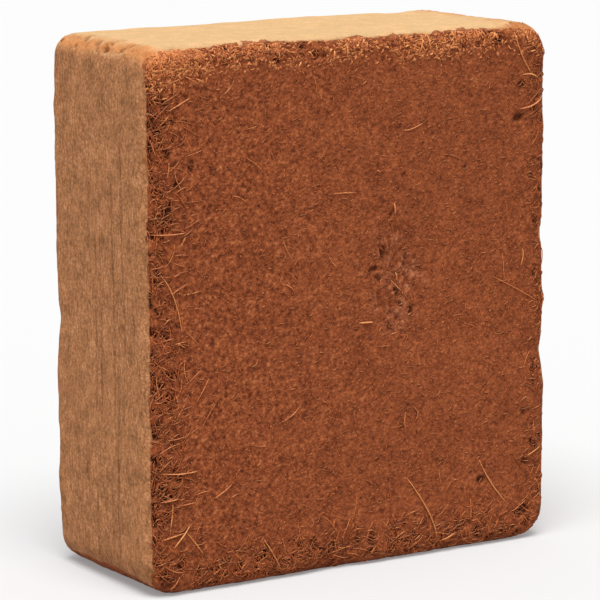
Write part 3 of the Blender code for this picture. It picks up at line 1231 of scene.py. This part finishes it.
def strew_crumbs(name, count, weights, smallest, largest, tone=0.42):
    """One mesh of crumbs on the skin. Smallest and largest are half a crumb's size, in metres."""
    picked, _ = scatter(count, weights)
    rough_places = skin_places[quads[picked]]
    mix = chance.dirichlet(np.ones(4), count)[:, :, None]
    centres = (rough_places * mix).sum(axis=1)
    sizes = smallest + (largest - smallest) * chance.random(count) ** 2.2
    corner_count = len(LUMP_CORNERS)
    squash = chance.uniform(0.6, 1.3, (count, corner_count, 1))
    corners = LUMP_CORNERS * squash + chance.uniform(-0.3, 0.3, (count, corner_count, 3))
    twist = np.linalg.qr(chance.normal(size=(count, 3, 3)))[0]
    twist *= np.sign(np.linalg.det(twist))[:, None, None]
    corners = corners @ twist * (1.0, CRUMB_FLATNESS, 1.0)
    points = centres[:, None] + corners * sizes[:, None, None]
    points[:, :, 2] = np.maximum(points[:, :, 2], low.z)
    faces = LUMP_FACES + corner_count * np.arange(count)[:, None, None]
    mesh = bpy.data.meshes.new(name)
    mesh.from_pydata(points.reshape(-1, 3).tolist(), [], faces.reshape(-1, 3).tolist())
    low_corner, size = cells(count)
    slot = np.arange(len(LUMP_FACES))
    corner = np.stack([slot % 4 / 4, slot // 4 / 2], axis=1)
    triangle = np.array([(0.0, 0.0), (0.22, 0.0), (0.0, 0.45)])
    tones = np.clip(chance.normal(tone, 0.12, count), 0.0, 1.0)
    keep_field(mesh, "tone", np.repeat(tones, corner_count))
    return add_piece(name, mesh, low_corner[:, None, None] + size * (corner[:, None] + triangle))


quad_facing = facing_press[quads].mean(axis=1)
crumb_weights = felt_weights * fade(from_base_edge, 2 * MM, 6 * MM) * (0.15 + 0.85 * quad_facing)
clustered = fade(small_clouds[quads].mean(axis=1), -0.3, 0.5) * quad_facing
edge_weights = fringe_weights * clustered * front_quads
crumbs = [
    strew_crumbs("front_crumbs", 9000, crumb_weights * front_quads, 0.5 * MM, 1.1 * MM),
    strew_crumbs("back_crumbs", 5500, crumb_weights * ~front_quads, 0.5 * MM, 1.1 * MM),
    # Painted highlight: the edge crumbs' high tone partly stands in for the light from above.
    strew_crumbs("edge_crumbs", 1500, edge_weights, 0.6 * MM, 1.6 * MM, tone=0.80),
]

# %% [markdown]
# ## Fibre and crumb materials
#
# Husk fibre runs from nearly black to straw, and no two fibres match. A material each would be
# thousands of materials. Instead every fibre and crumb has a stored tone, and one material turns the
# tone into a colour along a ramp. Grain mottles it a little, and its upper side is paled by dust and
# painted sheen. Crumbs and the combed fibre of the sides get materials from the same function, each
# with its own ramp.

# %% Fibre and crumb materials
FIBRE_STEPS = [
    (0.0, linear(84, 38, 20)),
    (0.4, linear(138, 69, 38)),
    (0.7, linear(188, 104, 58)),
    (1.0, linear(226, 152, 92)),
]


def make_husk_material(name, steps, roughness, dust):
    """Husk that differs from piece to piece by its stored tone, and a little along each piece."""
    material, tree, surface = new_material(name, roughness, gloss=0.12)
    place = add_node(tree, "ShaderNodeTexCoord").outputs["Object"]
    grain = use_group(tree, pith_grain, {"Vector": place, "Grain Size": 0.0012})["Grain"]
    mottle = sum_up(tree, "MULTIPLY", sum_up(tree, "SUBTRACT", grain, 0.5), 0.5)
    colour = colour_steps(tree, sum_up(tree, "ADD", attribute(tree, "tone"), mottle), steps)
    # Painted sheen with some dust: the dust amount pales the upper side.
    colour = use_group(tree, dust_and_sheen, {
        "Color": colour, "Dust Color": DUST_AND_SHEEN, "Amount": dust})["Color"]
    bump = add_node(tree, "ShaderNodeBump", {"Strength": 0.3, "Distance": 0.0002, "Height": grain})
    tree.links.new(colour, surface.inputs["Base Color"])
    tree.links.new(bump.outputs["Normal"], surface.inputs["Normal"])
    return material


CRUMB_STEPS = [(0.0, PITH_DARK), (0.5, PITH_BROWN), (1.0, PITH_ORANGE)]
TAN_STEPS = [(0.0, TAN_DARK), (0.5, TAN), (1.0, TAN_PALE)]
# Each dust amount below also sets the painted sheen on the upper side.
husk_fibre = make_husk_material("husk fibre", FIBRE_STEPS, 0.7, dust=0.20)
pith_crumb = make_husk_material("pith crumb", CRUMB_STEPS, 0.9, dust=0.03)
combed_fibre = make_husk_material("combed side fibre", TAN_STEPS, 0.7, dust=0.55)
finishes = [
    (fibres, husk_fibre, "husk_fibre"),
    (crumbs, pith_crumb, "pressed_coir"),
    ([side_fibres], combed_fibre, "husk_fibre"),
]
for pieces, material, slot in finishes:
    for piece in pieces:
        piece.data.materials.append(material)
        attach(piece, "root")
    print(material.name, "covers", len(pieces), "pieces")
